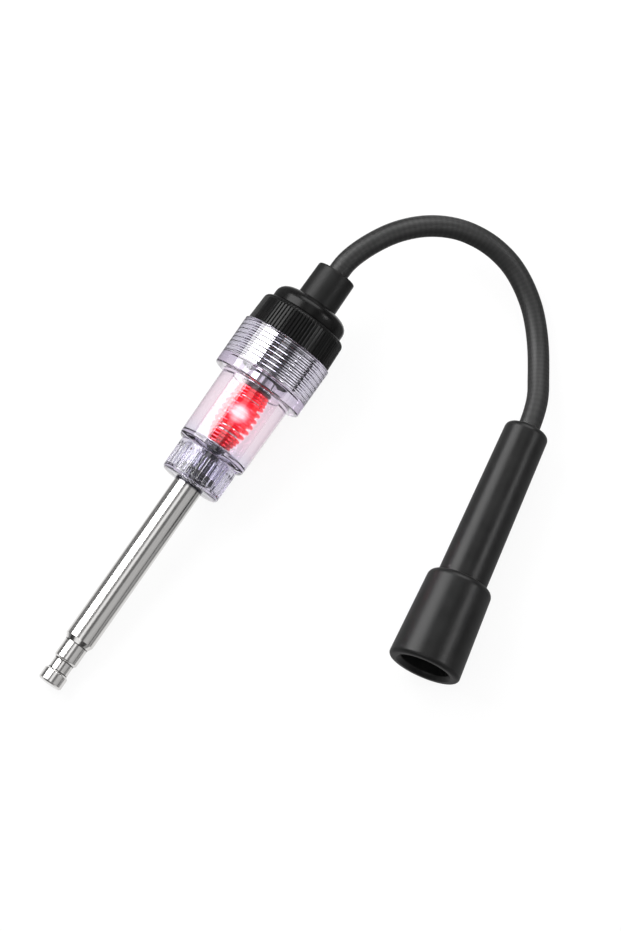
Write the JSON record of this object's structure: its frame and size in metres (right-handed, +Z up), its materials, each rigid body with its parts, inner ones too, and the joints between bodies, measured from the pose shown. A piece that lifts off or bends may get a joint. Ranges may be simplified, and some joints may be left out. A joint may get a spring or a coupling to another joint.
{
  "type": "spark plug tester",
  "caption": "In-line ignition tester: a steel probe on a clear lamp barrel with a knurled cap nut, joined by a short lead to a rubber plug boot.",
  "frame": {"origin": "on the floor, under the middle of the body without its lead and boot", "axes": "+X along the body in plan, from the probe tip towards the lead; +Z up; the boot lies on the -Y side"},
  "size_m": [0.155, 0.0939, 0.0254],
  "materials": {
    "rod_steel": "bright turned steel",
    "seal_rubber": "matte",
    "clear_plastic": "clear, faintly violet, polished",
    "plated_steel": "plated",
    "spring_wire": "drawn wire, bright",
    "lamp_glass": "clear glass, glows red when lit",
    "electrode_metal": "dull",
    "insulator": "natural",
    "contact_chrome": "mirror",
    "brass": "drawn",
    "plug_plastic": "moulded",
    "gloss_black": "polished black",
    "sleeve_rubber": "satin black",
    "core_copper": "tinned copper strand",
    "lead_rubber": "fine woven texture, black",
    "boot_rubber": "matte black"
  },
  "bodies": {
    "housing": {"clear_housing": "clear_plastic", "seal_ring": "seal_rubber", "spring_seat": "plated_steel", "lamp_spring": "spring_wire", "lamp_glass": "lamp_glass", "lamp_lower_cap": "plated_steel", "lamp_upper_cap": "plated_steel", "lower_electrode": "electrode_metal", "upper_electrode": "electrode_metal"},
    "rod": {"probe_rod": "rod_steel", "rod_washer": "seal_rubber"},
    "collar": {"collar_nut": "clear_plastic"},
    "lead_end": {"contact_washer": "insulator", "top_contact": "contact_chrome", "lead_ferrule": "brass", "lead_plug": "plug_plastic", "lead_cap": "gloss_black", "strain_relief": "sleeve_rubber", "lead_core": "core_copper", "lead_jacket": "lead_rubber", "boot": "boot_rubber", "boot_terminal": "brass", "terminal_clip": "spring_wire"},
    "cap": {"cap_nut": "gloss_black"}
  },
  "joints": [
    {"name": "lead_draw", "type": "slide", "parent": "housing", "child": "lead_end", "axis": [0.9949, 0, 0.1005], "range_m": [0, 0.00562]},
    {"name": "cap_turn", "type": "hinge", "parent": "lead_end", "child": "cap", "pos_m": [0.04269, 0, 0.01361], "axis": [0.9949, 0, 0.1005], "range_deg": [0, 1620]},
    {"name": "rod_draw", "type": "slide", "parent": "housing", "child": "rod", "axis": [-0.9949, 0, -0.1005], "range_m": [0, 0.00469]},
    {"name": "collar_turn", "type": "hinge", "parent": "rod", "child": "collar", "pos_m": [0.00179, 0, 0.00948], "axis": [-0.9949, 0, -0.1005], "range_deg": [0, 1350]}
  ],
  "couplings": [
    {"joint": "cap_turn", "follows": "lead_draw", "rad_per_m": 5026.5},
    {"joint": "collar_turn", "follows": "rod_draw", "rad_per_m": 5026.5}
  ]
}
